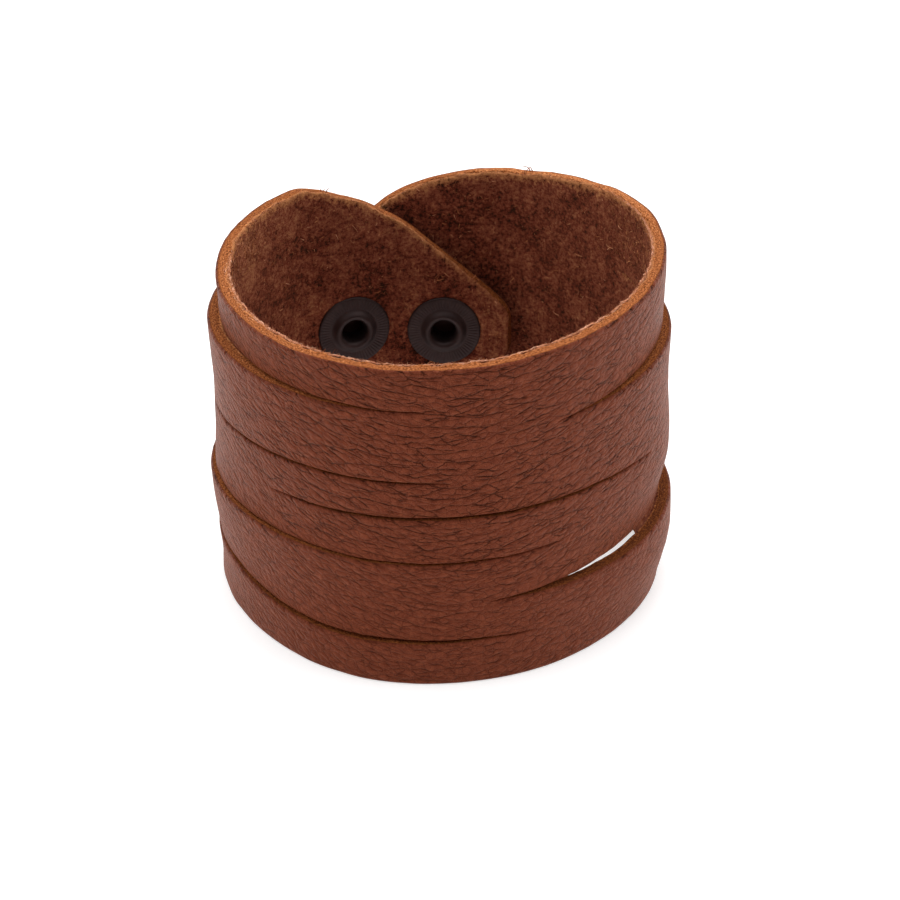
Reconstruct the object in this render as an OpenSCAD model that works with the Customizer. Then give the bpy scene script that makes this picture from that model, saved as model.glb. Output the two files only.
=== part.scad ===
// Wide leather cuff bracelet, closed: one strap of leather slit into strips round its front,
// its two tapered flaps overlapping at the back and held by two press snaps.
// The cuff stands on its lower edge. Front is -Y, the closure is at +Y, lengths are millimetres.
// A running angle follows the strap from the inner flap's tip, over the left side, the front
// and the right side, to the outer flap's tip, so it goes past 360 where the flaps overlap.

/* [Cuff] */
// Outside diameter of the closed cuff
cuff_d = 66; // [62:1:72]
// Height of the cuff at the middle of the front
cuff_h = 50.3; // [44:0.1:56]
// Thickness of the leather
leather_t = 2.2; // [1.8:0.1:2.6]

/* [Flaps] */
// Running angle of the inner flap's tip
inner_tip = 69; // [66:3:72]
// Running angle of the outer flap's tip
outer_tip = 498; // [489:3:501]
// Clear space between the two flaps
flap_gap = 1.3; // [1.2:0.1:1.8]
// Width of each flap at its blunt tip
tip_w = 7.2; // [6:0.2:10]
// How fast a flap's half width grows along the strap
flap_slope = 0.87; // [0.75:0.01:1.1]

/* [Slits] */
// Width of a closed slit
kerf = 0.25; // [0.2:0.05:0.5]
// How far the strips stand out and gape, where 1 is as worn
spread = 1; // [0.6:0.1:1.2]

/* [Snaps] */
// Diameter of the flange inside the cuff
flange_d = 11.3; // [10:0.1:11.5]
// Diameter of the hole down the middle of each eyelet
eyelet_hole_d = 3.6; // [2.8:0.1:3.6]
// Diameter of the domed cap outside the cuff
cap_d = 12; // [10:0.1:12]
// Height of the cap's dome
cap_h = 2; // [1:0.1:3]

/* [Hidden] */

leather_colour = [0.45, 0.24, 0.19];
metal_colour = [0.19, 0.16, 0.16];

// The plan is a circle pulled slightly out of round by a two-lobed and a three-lobed wave:
// each wave has its share of the radius and the angle of its first lobe.
oval = -0.0081;
oval_turn = -10;
trefoil = 0.0221;
trefoil_turn = 25.6;

// Heights are drawn for a cuff of this height and follow cuff_h.
drawn_h = 50.3;
height_scale = cuff_h / drawn_h;
mid_z = 25.2 * height_scale;
full_half = 25.3 * height_scale;

// Height of the upper edge round the strap: running angle, height
rim_rows = [
    [60, 50.3],
    [120, 50.5],
    [130, 50.9],
    [150, 50.3],
    [185, 48.9],
    [225, 49.3],
    [270, 50.3],
    [310, 51.2],
    [340, 51.8],
    [360, 52.5],
    [382, 53.2],
    [398, 53.2],
    [410, 52.4],
    [422, 51.4],
    [435, 50.4],
    [500, 50.0]
];

// Seven slits from the lowest up. The strip under a slit stands out by lip at its upper edge and is
// back in line one lip_reach lower. The strip over it is drawn in by tuck at its lower edge, which
// fades over tuck_reach. Both swell along the slit, most at peak, its share of the slit's length.
// The slit opens by gape, most at gape_peak, and its line sags by sag at peak.
// slit_start, slit_end, z_start, z_mid, z_end, lip, lip_reach, tuck, tuck_reach, peak, sharp,
// gape, gape_peak, sag
slits = [
    [150, 294,  9.3,  7.9,  6.9, 0.1,   7, 0.5,  12, 0.60, 1,    0.25, 0.72, 0.85],
    [282, 396, 13.0, 14.2, 15.2, 1.0,   9, 0.9,   7, 0.57, 1,    0.9,  0.42, 0],
    [150, 303, 19.0, 19.4, 20.2, 0.7,  15, 0.15, 10, 0.30, 1.5,  0,    0.30, 0.45],
    [222, 339, 25.5, 27.2, 26.1, 0.2,   6, 0.1,   6, 0.50, 1,    0.1,  0.50, 0],
    [183, 273, 29.4, 31.8, 32.7, 0.1,   6, 0.05,  6, 0.50, 1,    0,    0.50, 0],
    [300, 393, 39.6, 40.9, 41.5, 1.15, 26, 0.3,   8, 0.55, 1.5,  0.2,  0.55, 0],
    [150, 267, 43.4, 43.4, 43.8, 1.55, 20, 0.4,   6, 0.36, 2,    0.2,  0.36, 0]
];

// Columns of the slits table
slit_start = 0;
slit_end = 1;
z_start = 2;
z_mid = 3;
z_end = 4;
lip = 5;
lip_reach = 6;
tuck = 7;
tuck_reach = 8;
peak = 9;
sharp = 10;
gape = 11;
gape_peak = 12;
sag = 13;

// The leather is also fuller in places: angle of each swell, its reach round the strap, its height,
// its reach up and down, how far it stands out at its middle
swells = [
    [185, 50, 18, 16, 0.9],
    [358, 48, 21, 14, 0.95],
    [350, 50,  8,  9, 1.5],
    [250, 35,  0, 14, 0.5]
];

// Each snap presses the flaps flat: angle its flat faces, distance of the inner flap's inner face,
// place of the snap along the flat, height of the snap
snap_right = [88.6, 28.7, 0, 25.2];
snap_left = [106.7, 29.35, 4.9, 26.2];
snaps = [snap_right, snap_left];

// Columns of a snap's row
facing = 0;
distance = 1;
slide = 2;
level = 3;

// A flat counts only this far round from the way it faces, and meets its neighbours in a soft
// bend this wide.
flat_reach = 50;
flat_round = 0.8;

// The inner flap drifts inward towards its tip and the strap swells where the snaps end.
shoulder = 127;
inner_drift = 1.4;
swell = 0.35;
swell_reach = 25;
// The outer flap climbs over the inner one between these running angles.
climb_from = 395;
climb_to = 450;
climb = leather_t + flap_gap;
// Running angle of the middle of the front, past which the strap belongs to its outer end
front = 270;

// The flaps' shoulders are rounded over this much width, their tips by this radius. Lengths along
// a flap are counted at its own distance from the middle.
shoulder_round = 10;
tip_round = 1.3;
inner_flap_r = 31;
outer_flap_r = 34.6;

// Columns of the strap's surface lie this many degrees apart; every slit starts and ends on one.
step = 3;
tip_step = 0.8;
columns = concat([inner_tip, inner_tip + tip_step],
                 [for (a = [inner_tip + step : step : outer_tip - step]) a],
                 [outer_tip - tip_step, outer_tip]);
last_column = len(columns) - 1;
// Lines from the lower edge, over the slits, to the upper edge
top_line = len(slits) + 1;

// Seats pressed into the leather by the snaps, wider than the metal by rim_clear, and the
// clearance of each metal piece
seat = 0.25;
rim_clear = 0.4;
clear = 0.05;
leather_hole_d = 4.5;
round_fn = 64;

// Eyelet: sheet it is pressed from, its barrel, and the roll round its hole
sheet = 0.35;
barrel_d = 4.2;
roll_share = 0.18;
roll_h = 0.55;
flange_edge = 0.2;

// Stud: disc with a hollow knob that narrows to a neck and swells to a bead
stud_d = 9.2;
disc_t = 0.3;
knob_d = 5.6;
neck_d = 4.9;
bead_d = 5.44;
knob_top_d = 4.6;
knob_h = 0.9;
knob_wall = 0.25;

// Socket and cap: outside of the cup, and the bevel or straight edge round each
socket_d = 10;
socket_bevel = 0.2;
cap_edge = 0.25;

function clamp(u) = min(max(u, 0), 1);
function smooth(u) = clamp(u) * clamp(u) * (3 - 2 * clamp(u));
// The smaller of two sizes, rounded where they meet over the width k
function blend_min(a, b, k) = min(a, b) - pow(max(k - abs(a - b), 0) / k, 2) * k / 4;
function over_flap(a) = a > front;
function around(a) = over_flap(a) ? a - 360 : a;

// Plan of the strap: radius at running angle a, off outward of the inner face
function round_r(a) = cuff_d / 2 * (1 + oval * cos(2 * (a - oval_turn)) + trefoil * cos(3 * (a - trefoil_turn)));
function swell_r(a) = swell * pow(cos(90 * min(1, abs(around(a) - shoulder) / swell_reach)), 2);
function drift_r(a) = inner_drift * pow(max(0, (shoulder - a) / (shoulder - inner_tip)), 4);
function climb_r(a) = climb * smooth((a - climb_from) / (climb_to - climb_from));
function free_r(a) = round_r(a) - leather_t + swell_r(a) - drift_r(a) + climb_r(a);
function flat_r(a, s, off) =
    let (turn = around(a) - s[facing])
    abs(turn) > flat_reach ? cuff_d : (s[distance] + (over_flap(a) ? climb : 0) + off) / cos(turn);
function plan_r(a, off) =
    blend_min(blend_min(flat_r(a, snap_right, off), flat_r(a, snap_left, off), flat_round),
              free_r(a) + off, flat_round);

// Share of the full width left at a distance s from a flap's tip, and at running angle a
function corner(s) = s < tip_round ? tip_round - sqrt(pow(tip_round, 2) - pow(tip_round - s, 2)) : 0;
function flap_share(s) =
    (blend_min(tip_w / 2 + flap_slope * s, full_half, shoulder_round) - corner(s)) / full_half;
function share(a) =
    flap_share((a - inner_tip) * PI / 180 * inner_flap_r) *
    flap_share((outer_tip - a) * PI / 180 * outer_flap_r);
function squeeze(z, a) = mid_z + (z * height_scale - mid_z) * share(a);

// Shape of slit s at running angle a: how far along it is, how much it swells, its height
function along(s, a) = clamp((a - s[slit_start]) / (s[slit_end] - s[slit_start]));
function bell(s, a, top, power) = spread * pow(sin(180 * pow(along(s, a), ln(0.5) / ln(top))), power);
function bulge(s, a) = bell(s, a, s[peak], s[sharp]);
function slit_z(s, a) =
    let (u = along(s, a))
    s[z_start] * (1 - u) * (1 - 2 * u) + s[z_mid] * 4 * u * (1 - u) + s[z_end] * u * (2 * u - 1)
    - s[sag] * bell(s, a, s[peak], 4);
function opening(s, a) =
    kerf * min(1, 6 * along(s, a), 6 * (1 - along(s, a))) + s[gape] * bell(s, a, s[gape_peak], 2);
function is_open(line, a) =
    line > 0 && line < top_line && a > slits[line - 1][slit_start] && a < slits[line - 1][slit_end];

// Height of a line at running angle a; side 0 is the edge of the strip below it, side 1 of the strip above
function line_z(line, side, a) =
    line == 0 ? squeeze(0, a) :
    line == top_line ? squeeze(lookup(a, rim_rows), a) :
    squeeze(slit_z(slits[line - 1], a) - (side == 0 && is_open(line, a) ? opening(slits[line - 1], a) : 0), a);

// How far the face stands outward there: the swells, and the lips and tucks of all slits, added up
function hump(u) = pow(cos(90 * min(1, abs(u))), 2);
function fullness(z, a) =
    [for (s = swells) s[4] * hump((a - s[0]) / s[1]) * hump((z - s[2]) / s[3])] * [for (s = swells) 1];
function lean_in(s, a, rise, below) =
    bulge(s, a) * (below ? s[lip] * max(0, 1 + rise / s[lip_reach]) : -s[tuck] * max(0, 1 - rise / s[tuck_reach]));
function line_off(line, side, a) =
    let (z = line_z(line, side, a))
    [for (k = [0 : len(slits) - 1])
        let (own = k == line - 1)
        let (rise = own ? 0 : z - slit_z(slits[k], a) * height_scale)
        lean_in(slits[k], a, rise, own ? side == 0 : rise < 0)
    ] * [for (s = slits) 1] + fullness(z, a);

// Cut edges stay square to the leather, so a leaning strip lifts the inner side of its cut edge.
function strip_lean(strip, a) =
    (line_off(strip + 1, 0, a) - line_off(strip, 1, a)) / (line_z(strip + 1, 0, a) - line_z(strip, 1, a));
function edge_lift(line, side, a) =
    !is_open(line, a) ? 0 : leather_t * strip_lean(side == 0 ? line - 1 : line, a);

// A point of the strap: face 0 is the outer face, face 1 the inner one
function strap_point(face, a, line, side) =
    let (r = plan_r(a, line_off(line, side, a) + (face == 0 ? leather_t : 0)))
    [r * cos(a), r * sin(a), line_z(line, side, a) + (face == 0 ? 0 : edge_lift(line, side, a))];

strap_points = [for (face = [0, 1], a = columns, line = [0 : top_line], side = [0, 1])
    strap_point(face, a, line, side)];

// Place of a point in that list; the two sides of a line share one point where its slit is closed
function at(face, col, line, side) =
    ((face * (last_column + 1) + col) * (top_line + 1) + line) * 2 + (is_open(line, columns[col]) ? side : 0);
function quad(p, q, r, s) = [[p, q, r], [p, r, s]];
function facing_up(col, line) =
    quad(at(0, col, line, 0), at(1, col, line, 0), at(1, col + 1, line, 0), at(0, col + 1, line, 0));
function facing_down(col, line) =
    quad(at(0, col, line, 1), at(0, col + 1, line, 1), at(1, col + 1, line, 1), at(1, col, line, 1));
function facing_out(col, strip) =
    quad(at(0, col, strip, 1), at(0, col, strip + 1, 0), at(0, col + 1, strip + 1, 0), at(0, col + 1, strip, 1));
function facing_in(col, strip) =
    quad(at(1, col, strip, 1), at(1, col + 1, strip, 1), at(1, col + 1, strip + 1, 0), at(1, col, strip + 1, 0));
function first_tip(strip) =
    quad(at(1, 0, strip, 1), at(1, 0, strip + 1, 0), at(0, 0, strip + 1, 0), at(0, 0, strip, 1));
function last_tip(strip) =
    quad(at(1, last_column, strip, 1), at(0, last_column, strip, 1),
         at(0, last_column, strip + 1, 0), at(1, last_column, strip + 1, 0));

strap_faces = concat(
    [for (col = [0 : last_column - 1], strip = [0 : top_line - 1], f = facing_out(col, strip)) f],
    [for (col = [0 : last_column - 1], strip = [0 : top_line - 1], f = facing_in(col, strip)) f],
    [for (col = [0 : last_column - 1], f = facing_down(col, 0)) f],
    [for (col = [0 : last_column - 1], f = facing_up(col, top_line)) f],
    [for (col = [0 : last_column - 1], line = [1 : top_line - 1])
        if (is_open(line, columns[col]) || is_open(line, columns[col + 1]))
            each concat(facing_up(col, line), facing_down(col, line))],
    [for (strip = [0 : top_line - 1], f = first_tip(strip)) f],
    [for (strip = [0 : top_line - 1], f = last_tip(strip)) f]
);

// Depths along a snap, outward from the inner flap's inner face
eyelet_back = seat - clear;
stud_seat = leather_t - seat;
stud_base = stud_seat + clear;
disc_top = stud_base + disc_t;
knob_top = disc_top + knob_h;
knob_ceiling = knob_top - knob_wall;
barrel_top = knob_ceiling - clear;
socket_seat = leather_t + flap_gap + seat;
socket_mouth = disc_top + 2 * clear;
socket_top = socket_seat - clear;
cap_seat = 2 * leather_t + flap_gap - seat;
cap_base = cap_seat + clear;
cap_top = cap_base + cap_h;
// Pockets and holes run this far past the leather.
past = 2;

// The origin is under the middle of the whole cuff's box, caps included.
function cap_reach(s) = (s[distance] + cap_top) * sin(s[facing]) + s[slide] * cos(s[facing]);
box_x = [min([for (p = strap_points) p[0]]), max([for (p = strap_points) p[0]])];
box_y = [min([for (p = strap_points) p[1]]),
         max(concat([for (p = strap_points) p[1]], [for (s = snaps) cap_reach(s)]))];
centring = [-(box_x[0] + box_x[1]) / 2, -(box_y[0] + box_y[1]) / 2, 0];

// Puts a piece drawn about +Z onto a snap's axis, with z counted outward from the inner face
module on_snap(s) {
    rotate([0, 0, s[facing]])
        translate([s[distance], s[slide], s[level] * height_scale])
            rotate([0, 90, 0])
                children();
}

// A round bar along a snap's axis between two depths
module snap_bar(d, from, to) {
    translate([0, 0, from])
        cylinder(h = to - from, d = d, $fn = round_fn);
}

module leather_band() {
    color(leather_colour)
        translate(centring)
            difference() {
                polyhedron(points = strap_points, faces = strap_faces, convexity = 12);
                for (s = snaps)
                    on_snap(s) {
                        snap_bar(leather_hole_d, -past, cap_top + past);
                        snap_bar(flange_d + rim_clear, -past, seat);
                        snap_bar(socket_d + rim_clear, stud_seat, socket_seat);
                        snap_bar(cap_d + rim_clear, cap_seat, cap_top + past);
                    }
            }
}

// Flange with a raised roll round its hole, and a barrel that passes through the leather
module snap_eyelet(s) {
    hole_r = eyelet_hole_d / 2;
    front_z = eyelet_back - sheet;
    roll_r = (flange_d / 2 - hole_r) * roll_share;
    roll_at = hole_r + sheet / 2 + roll_r;
    color(metal_colour)
        translate(centring)
            on_snap(s)
                rotate_extrude($fn = round_fn)
                    polygon(concat(
                        [[hole_r, barrel_top], [barrel_d / 2, barrel_top],
                         [barrel_d / 2, eyelet_back], [flange_d / 2, eyelet_back],
                         [flange_d / 2, eyelet_back - flange_edge], [flange_d / 2 - flange_edge, front_z]],
                        [for (t = [0 : 15 : 165]) [roll_at + roll_r * cos(t), front_z - roll_h * sin(t)]],
                        [[hole_r, front_z + sheet]]));
}

// Disc outside the inner flap with a hollow closed knob, which the barrel reaches into
module snap_stud(s) {
    bore_r = barrel_d / 2 + clear;
    color(metal_colour)
        translate(centring)
            on_snap(s)
                rotate_extrude($fn = round_fn)
                    polygon([[bore_r, stud_base], [stud_d / 2, stud_base], [stud_d / 2, disc_top],
                             [knob_d / 2, disc_top], [neck_d / 2, disc_top + knob_h / 3],
                             [bead_d / 2, disc_top + knob_h * 2 / 3], [knob_top_d / 2, knob_top],
                             [0, knob_top], [0, knob_ceiling], [bore_r, knob_ceiling]]);
}

// Cup inside the outer flap that snaps over the knob
module snap_socket(s) {
    bore_r = knob_d / 2 + clear;
    outer_r = socket_d / 2;
    color(metal_colour)
        translate(centring)
            on_snap(s)
                rotate_extrude($fn = round_fn)
                    polygon([[bore_r, socket_mouth], [outer_r - socket_bevel, socket_mouth],
                             [outer_r, socket_mouth + socket_bevel], [outer_r, socket_top - socket_bevel],
                             [outer_r - socket_bevel, socket_top], [0, socket_top],
                             [0, knob_top + clear], [bore_r, knob_top + clear]]);
}

// Plain domed cap outside the outer flap, with a shank through the leather to the socket
module snap_cap(s) {
    cap_r = cap_d / 2;
    color(metal_colour)
        translate(centring)
            on_snap(s)
                rotate_extrude($fn = round_fn)
                    polygon(concat(
                        [[0, socket_seat], [barrel_d / 2, socket_seat], [barrel_d / 2, cap_base],
                         [cap_r, cap_base]],
                        [for (t = [0 : 10 : 90])
                            [cap_r * cos(t), cap_base + cap_edge + (cap_h - cap_edge) * sin(t)]]));
}

leather_band();
snap_eyelet(snap_left);  // snap_eyelet_left
snap_eyelet(snap_right);  // snap_eyelet_right
snap_stud(snap_left);  // snap_stud_left
snap_stud(snap_right);  // snap_stud_right
snap_socket(snap_left);  // snap_socket_left
snap_socket(snap_right);  // snap_socket_right
snap_cap(snap_left);  // snap_cap_left
snap_cap(snap_right);  // snap_cap_right
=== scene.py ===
import math
from functools import partial

import bpy
import numpy as np
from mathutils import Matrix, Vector


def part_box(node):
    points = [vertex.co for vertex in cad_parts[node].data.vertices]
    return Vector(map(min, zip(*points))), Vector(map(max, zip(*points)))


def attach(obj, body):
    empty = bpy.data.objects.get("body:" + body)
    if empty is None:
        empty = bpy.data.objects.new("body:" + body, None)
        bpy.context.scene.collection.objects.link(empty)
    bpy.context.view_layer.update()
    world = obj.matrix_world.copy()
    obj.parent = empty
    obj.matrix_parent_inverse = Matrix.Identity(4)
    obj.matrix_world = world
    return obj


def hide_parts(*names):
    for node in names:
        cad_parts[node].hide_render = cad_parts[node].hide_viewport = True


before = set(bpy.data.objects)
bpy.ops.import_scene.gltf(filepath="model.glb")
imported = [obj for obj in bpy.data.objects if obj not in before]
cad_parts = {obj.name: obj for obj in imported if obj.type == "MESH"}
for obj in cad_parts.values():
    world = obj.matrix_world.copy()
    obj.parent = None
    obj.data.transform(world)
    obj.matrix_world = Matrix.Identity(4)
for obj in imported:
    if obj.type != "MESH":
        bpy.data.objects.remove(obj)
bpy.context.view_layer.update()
mm = 0.001

# A wide leather cuff bracelet, closed: one strap slit into strips, two tapered flaps, two press snaps.
# Sizes are millimetres and angles degrees until a mesh, a light or the camera is made of them.


# Small helpers

# sRGB hex to linear red, green, blue: c / 12.92 up to 0.04045, above it ((c + 0.055) / 1.055) ^ 2.4.
def linear(hexColour):
    channels = [int(hexColour[k:k + 2], 16) / 255 for k in (0, 2, 4)]
    return [c / 12.92 if c <= 0.04045 else ((c + 0.055) / 1.055) ** 2.4 for c in channels]


# u held between 0 and 1.
def clamp(u):
    return np.clip(u, 0, 1)


# 3 u^2 - 2 u^3 between 0 and 1, flat outside.
def smooth(u):
    return clamp(u) ** 2 * (3 - 2 * clamp(u))


# 0 outside two running angles, 1 from 20 degrees inside them.
def between(a, start, end):
    return smooth((a - start) / 20) * smooth((end - a) / 20)


# The smaller of two sizes, less (1 - |a - b| / k)^2 * k / 4 where they come within k.
def blendMin(a, b, k):
    return np.minimum(a, b) - (np.maximum(k - np.abs(a - b), 0) / k) ** 2 * k / 4


# Random heights from -1 to 1 on a lattice of square cells, joined by the smooth step both ways.
def softNoise(u, v, cell, seed):
    size = 256
    table = np.random.default_rng(seed).uniform(-1, 1, (size, size))
    x, y = np.broadcast_arrays(np.asarray(u, float) / cell, np.asarray(v, float) / cell)
    i, j = np.floor(x).astype(int), np.floor(y).astype(int)
    fx, fy = smooth(x - i), smooth(y - j)
    low = table[i % size, j % size] * (1 - fx) + table[(i + 1) % size, j % size] * fx
    high = table[i % size, (j + 1) % size] * (1 - fx) + table[(i + 1) % size, (j + 1) % size] * fx
    return low * (1 - fy) + high * fy


# Adds a node and gives its output out. kind may end in the node's operation. The inputs are in order or by
# name: one that is a socket is linked, a hex colour is made linear, anything else is set. stops are a colour
# ramp's places and hex colours, and the properties go on the node itself.
def addNode(tree, kind, inputs, out=0, stops=(), **properties):
    kind, _, operation = kind.partition(" ")
    node = tree.nodes.new("ShaderNode" + kind)
    if operation:
        node.operation = operation
    for name, value in properties.items():
        setattr(node, name, value)
    for name, value in inputs.items() if isinstance(inputs, dict) else enumerate(inputs):
        if isinstance(value, bpy.types.NodeSocket):
            tree.links.new(value, node.inputs[name])
        else:
            node.inputs[name].default_value = (*linear(value), 1) if isinstance(value, str) else value
    for _ in stops[2:]:
        node.color_ramp.elements.new(0.5)
    for k, (spot, colour) in enumerate(stops):
        node.color_ramp.elements[k].position = spot
        node.color_ramp.elements[k].color = (*linear(colour), 1)
    return node.outputs[out]


# A material whose Principled shader takes the inputs that surface works out. surface is handed add, which is
# addNode for the material's own tree.
def newMaterial(name, surface):
    material = bpy.data.materials.new(name)
    material.use_nodes = True
    tree = material.node_tree
    tree.nodes.clear()
    add = partial(addNode, tree)
    shader = add("BsdfPrincipled", surface(add))
    tree.links.new(shader, tree.nodes.new("ShaderNodeOutputMaterial").inputs["Surface"])
    return material


# Points in millimetres and quads become one smooth-shaded mesh piece at the origin. A quad that has shrunk
# to a triangle loses its doubled corner, one that has shrunk to a line goes. kinds numbers each quad's
# material, maps holds the map of its four corners in millimetres, and edges over sharp degrees stay sharp.
def meshPiece(name, points, faces, materials, kinds=None, maps=None, attributes=None, sharp=60):
    used, faces = np.unique(faces, return_inverse=True)
    faces = faces.reshape(-1, 4)
    own = faces != np.roll(faces, 1, 1)
    own[:, 2:] &= (faces[:, 2:] != faces[:, :2])
    keep = own.sum(1) > 2
    faces, own = faces[keep], own[keep]
    sizes = own.sum(1)
    mesh = bpy.data.meshes.new(name)
    mesh.vertices.add(len(used))
    mesh.vertices.foreach_set("co", (points[used] * mm).astype(np.float32).ravel())
    mesh.loops.add(int(sizes.sum()))
    mesh.loops.foreach_set("vertex_index", faces[own].astype(np.int32))
    mesh.polygons.add(len(faces))
    mesh.polygons.foreach_set("loop_start", np.concatenate([[0], np.cumsum(sizes)[:-1]]).astype(np.int32))
    mesh.polygons.foreach_set("use_smooth", np.ones(len(faces), bool))
    for material in materials:
        mesh.materials.append(material)
    if kinds is not None:
        mesh.polygons.foreach_set("material_index", kinds[keep].astype(np.int32))
    if maps is not None:
        layer = mesh.uv_layers.new(name="strapMap")
        layer.uv.foreach_set("vector", (maps[keep][own] * mm).astype(np.float32).ravel())
    for key, values in (attributes or {}).items():
        layer = mesh.attributes.new(key, "FLOAT", "POINT")
        layer.data.foreach_set("value", values[used].astype(np.float32))
    mesh.update(calc_edges=True)
    if mesh.validate():
        print(name, "had faces that needed mending")
    mesh.set_sharp_from_angle(angle=math.radians(sharp))
    piece = bpy.data.objects.new(name, mesh)
    bpy.context.scene.collection.objects.link(piece)
    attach(piece, "root")
    return piece


# The corners of a grid's cells, counter-clockwise seen from where its first way runs right, its second up.
def gridFaces(index, wrap=False):
    ahead = np.roll(index, -1, 0) if wrap else index[1:]
    here = index if wrap else index[:-1]
    corners = np.stack([here[:, :-1], ahead[:, :-1], ahead[:, 1:], here[:, 1:]], 2)
    return corners.reshape(-1, 4, *index.shape[2:])


# The strap. A running angle goes round it from the inner flap's tip, past the front, to the outer flap's tip.

strap = {
    "cuffD": 66, "leatherT": 2.2, "midZ": 25.2, "fullHalf": 25.3,  # outside, thickness, middle, half height
    "oval": -0.0081, "ovalTurn": -10, "trefoil": 0.0221, "trefoilTurn": 25.6,  # waves of the plan
    "innerTip": 69, "outerTip": 498, "front": 270, "innerFlapEnd": 150, "outerFlapStart": 396,
    "flapGap": 1.3, "climbFrom": 395, "climbTo": 450,  # the outer flap climbs over the inner one
    "shoulder": 127, "innerDrift": 1.4, "swell": 0.35, "swellReach": 25, "flatReach": 50, "flatRound": 0.8,
    "tipW": 7.2, "flapSlope": 0.87, "shoulderRound": 10, "tipRound": 1.3,
    "innerFlapR": 31, "outerFlapR": 34.6, "outerRound": 0.34, "innerRound": 0.35, "kerf": 0.25, "slitFade": 3,
    "kerfRise": 6, "slitWave": 0.5,  # how fast a kerf opens from its ends, and the slits' share of the wave
    "tipSteps": 6, "tipReach": 3, "rowStep": 0.9, "cutRows": 5, "arrisSteps": (0, 0.3, 1),  # the mesh's steps
    # reliefs: height, coarse cell, fine cell, share of the fine one, seed
    "edgeWave": (0.14, 7, 2.2, 0.6, 11), "grainRelief": (0.05, 4.2, 1.9, 0.6, 21),
    "fleshRelief": (0.09, 2.6, 1.2, 0.7, 31),
    "frayFrom": 160, "frayTo": 405,
    "slitEdgeGap": 0.9, "closedGap": 9, "baseTone": 0.35, "tipTone": 0.45,
    "grainDroop": 0.23, "droopMiddle": 268, "droopSoft": 9,
    # where the faces other than the grain lie on the strap's map
    "fleshMap": 60, "cutMap": 120, "tipMap": 190, "outerTipMap": 200, "holeMap": 300,
}
climb = strap["leatherT"] + strap["flapGap"]
cutSteps = np.linspace(0, 1, strap["cutRows"] + 2)  # from the outer to the inner face

# What the knife left: rough cut faces with longer marks along them, and the rim's inner arris torn ragged
knife = {
    "rough": 0.07, "roughCell": 0.55, "roughSeed": 41, "markCell": 0.5, "markSquash": 0.4, "markShare": 1.4,
    "torn": 0.22, "tornReach": 0.5, "tearCell": 1.3, "tearSeed": 51, "fineTearCell": 0.7, "fineShare": 0.8,
    "tornInwards": 0.6, "tornRise": 0.8, "riseLag": 3,
}

# Height of the upper edge: running angle, height
rimRows = np.array([[60, 50.3], [120, 50.5], [130, 50.9], [150, 50.3], [185, 48.9], [225, 49.3], [270, 50.3],
                    [310, 51.2], [340, 51.8], [360, 52.5], [382, 53.2], [398, 53.2], [410, 52.4], [422, 51.4],
                    [435, 50.4], [500, 50.0]])

# How pale the rim's cut is: running angles, tones. They stand above the slits' partly as painted light on the
# upward-facing cut. The outer flap's was cut through paler hide.
rimTonesAndLight = ([72, 95, 150, 170, 365, 390, 436, 450], [0.4, 0.8, 0.8, 1, 1, 1.5, 1.5, 0.85])

# How much paler the flesh side's nap gets towards the rim: running angles, shares
napTones = ([69, 128, 148, 215, 260, 350, 375, 400], [1, 1, 2.1, 2.1, 1.2, 1.5, 0.9, 0.15])

# The leather is fuller in places: angle, reach round the strap, height, reach up and down, how far out
swells = [(185, 50, 18, 16, 0.9), (358, 48, 21, 14, 0.95), (350, 50, 8, 9, 1.5), (250, 35, 0, 14, 0.5)]

# From the lowest slit up. The strip below a slit stands out by lip, the strip above is drawn in by tuck.
slitColumns = ("start", "end", "zStart", "zMid", "zEnd", "lip", "lipReach", "tuck", "tuckReach", "peak",
               "sharp", "gape", "gapePeak", "sag", "tone")
# tone is how pale the slit's cut is: the low ones are partly painted shade under the strip above, partly dye
# bled into the cut
slitRows = [
    (150, 294, 9.3, 7.9, 6.9, 0.1, 7, 0.5, 12, 0.6, 1, 0.25, 0.72, 0.85, 0.35),
    (282, 396, 13.0, 14.2, 15.2, 1.0, 9, 0.9, 7, 0.57, 1, 0.9, 0.42, 0, 0.12),
    (150, 303, 19.0, 19.4, 20.2, 0.7, 15, 0.15, 10, 0.30, 1.5, 0, 0.3, 0.45, 0.5),
    (222, 339, 25.5, 27.2, 26.1, 0.2, 6, 0.1, 6, 0.50, 1, 0.1, 0.5, 0, 0.2),
    (183, 273, 29.4, 31.8, 32.7, 0.1, 6, 0.05, 6, 0.50, 1, 0, 0.5, 0, 0.2),
    (300, 393, 39.6, 40.9, 41.5, 1.15, 26, 0.3, 8, 0.55, 1.5, 0.2, 0.55, 0, 0.5),
    (150, 267, 43.4, 43.4, 43.8, 1.55, 20, 0.4, 6, 0.36, 2, 0.2, 0.36, 0, 0.75),
]
slits = [dict(zip(slitColumns, row)) for row in slitRows]
topLine = len(slits) + 1  # line 0 is the lower edge, then come the slits and the rim

# Each snap presses the flaps flat: angle it faces, distance of the inner face, place along the flat, height
snaps = {
    "right": {"facing": 88.6, "distance": 28.7, "slide": 0, "level": 25.2},
    "left": {"facing": 106.7, "distance": 29.35, "slide": 4.9, "level": 26.2},
}

# The seats that the snaps press into the leather; the radii are those on the inner and on the outer flap
seats = {"depth": 0.26, "soft": 0.7, "ring": 0.1, "ringAt": 1.2, "holeR": 3.0, "smoothR": 6,
         "outer": (4.8, 6.1), "inner": (5.5, 5.2)}


# A snap's axis outward and the level way across it: (cos f, sin f, 0) and (-sin f, cos f, 0).
def snapAxes(snap):
    f = math.radians(snap["facing"])
    return np.array([math.cos(f), math.sin(f), 0]), np.array([-math.sin(f), math.cos(f), 0])


# Distance of points from a snap's axis.
def fromAxis(points, snap):
    return np.hypot(points @ snapAxes(snap)[1] - snap["slide"], points[..., 2] - snap["level"])


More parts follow.
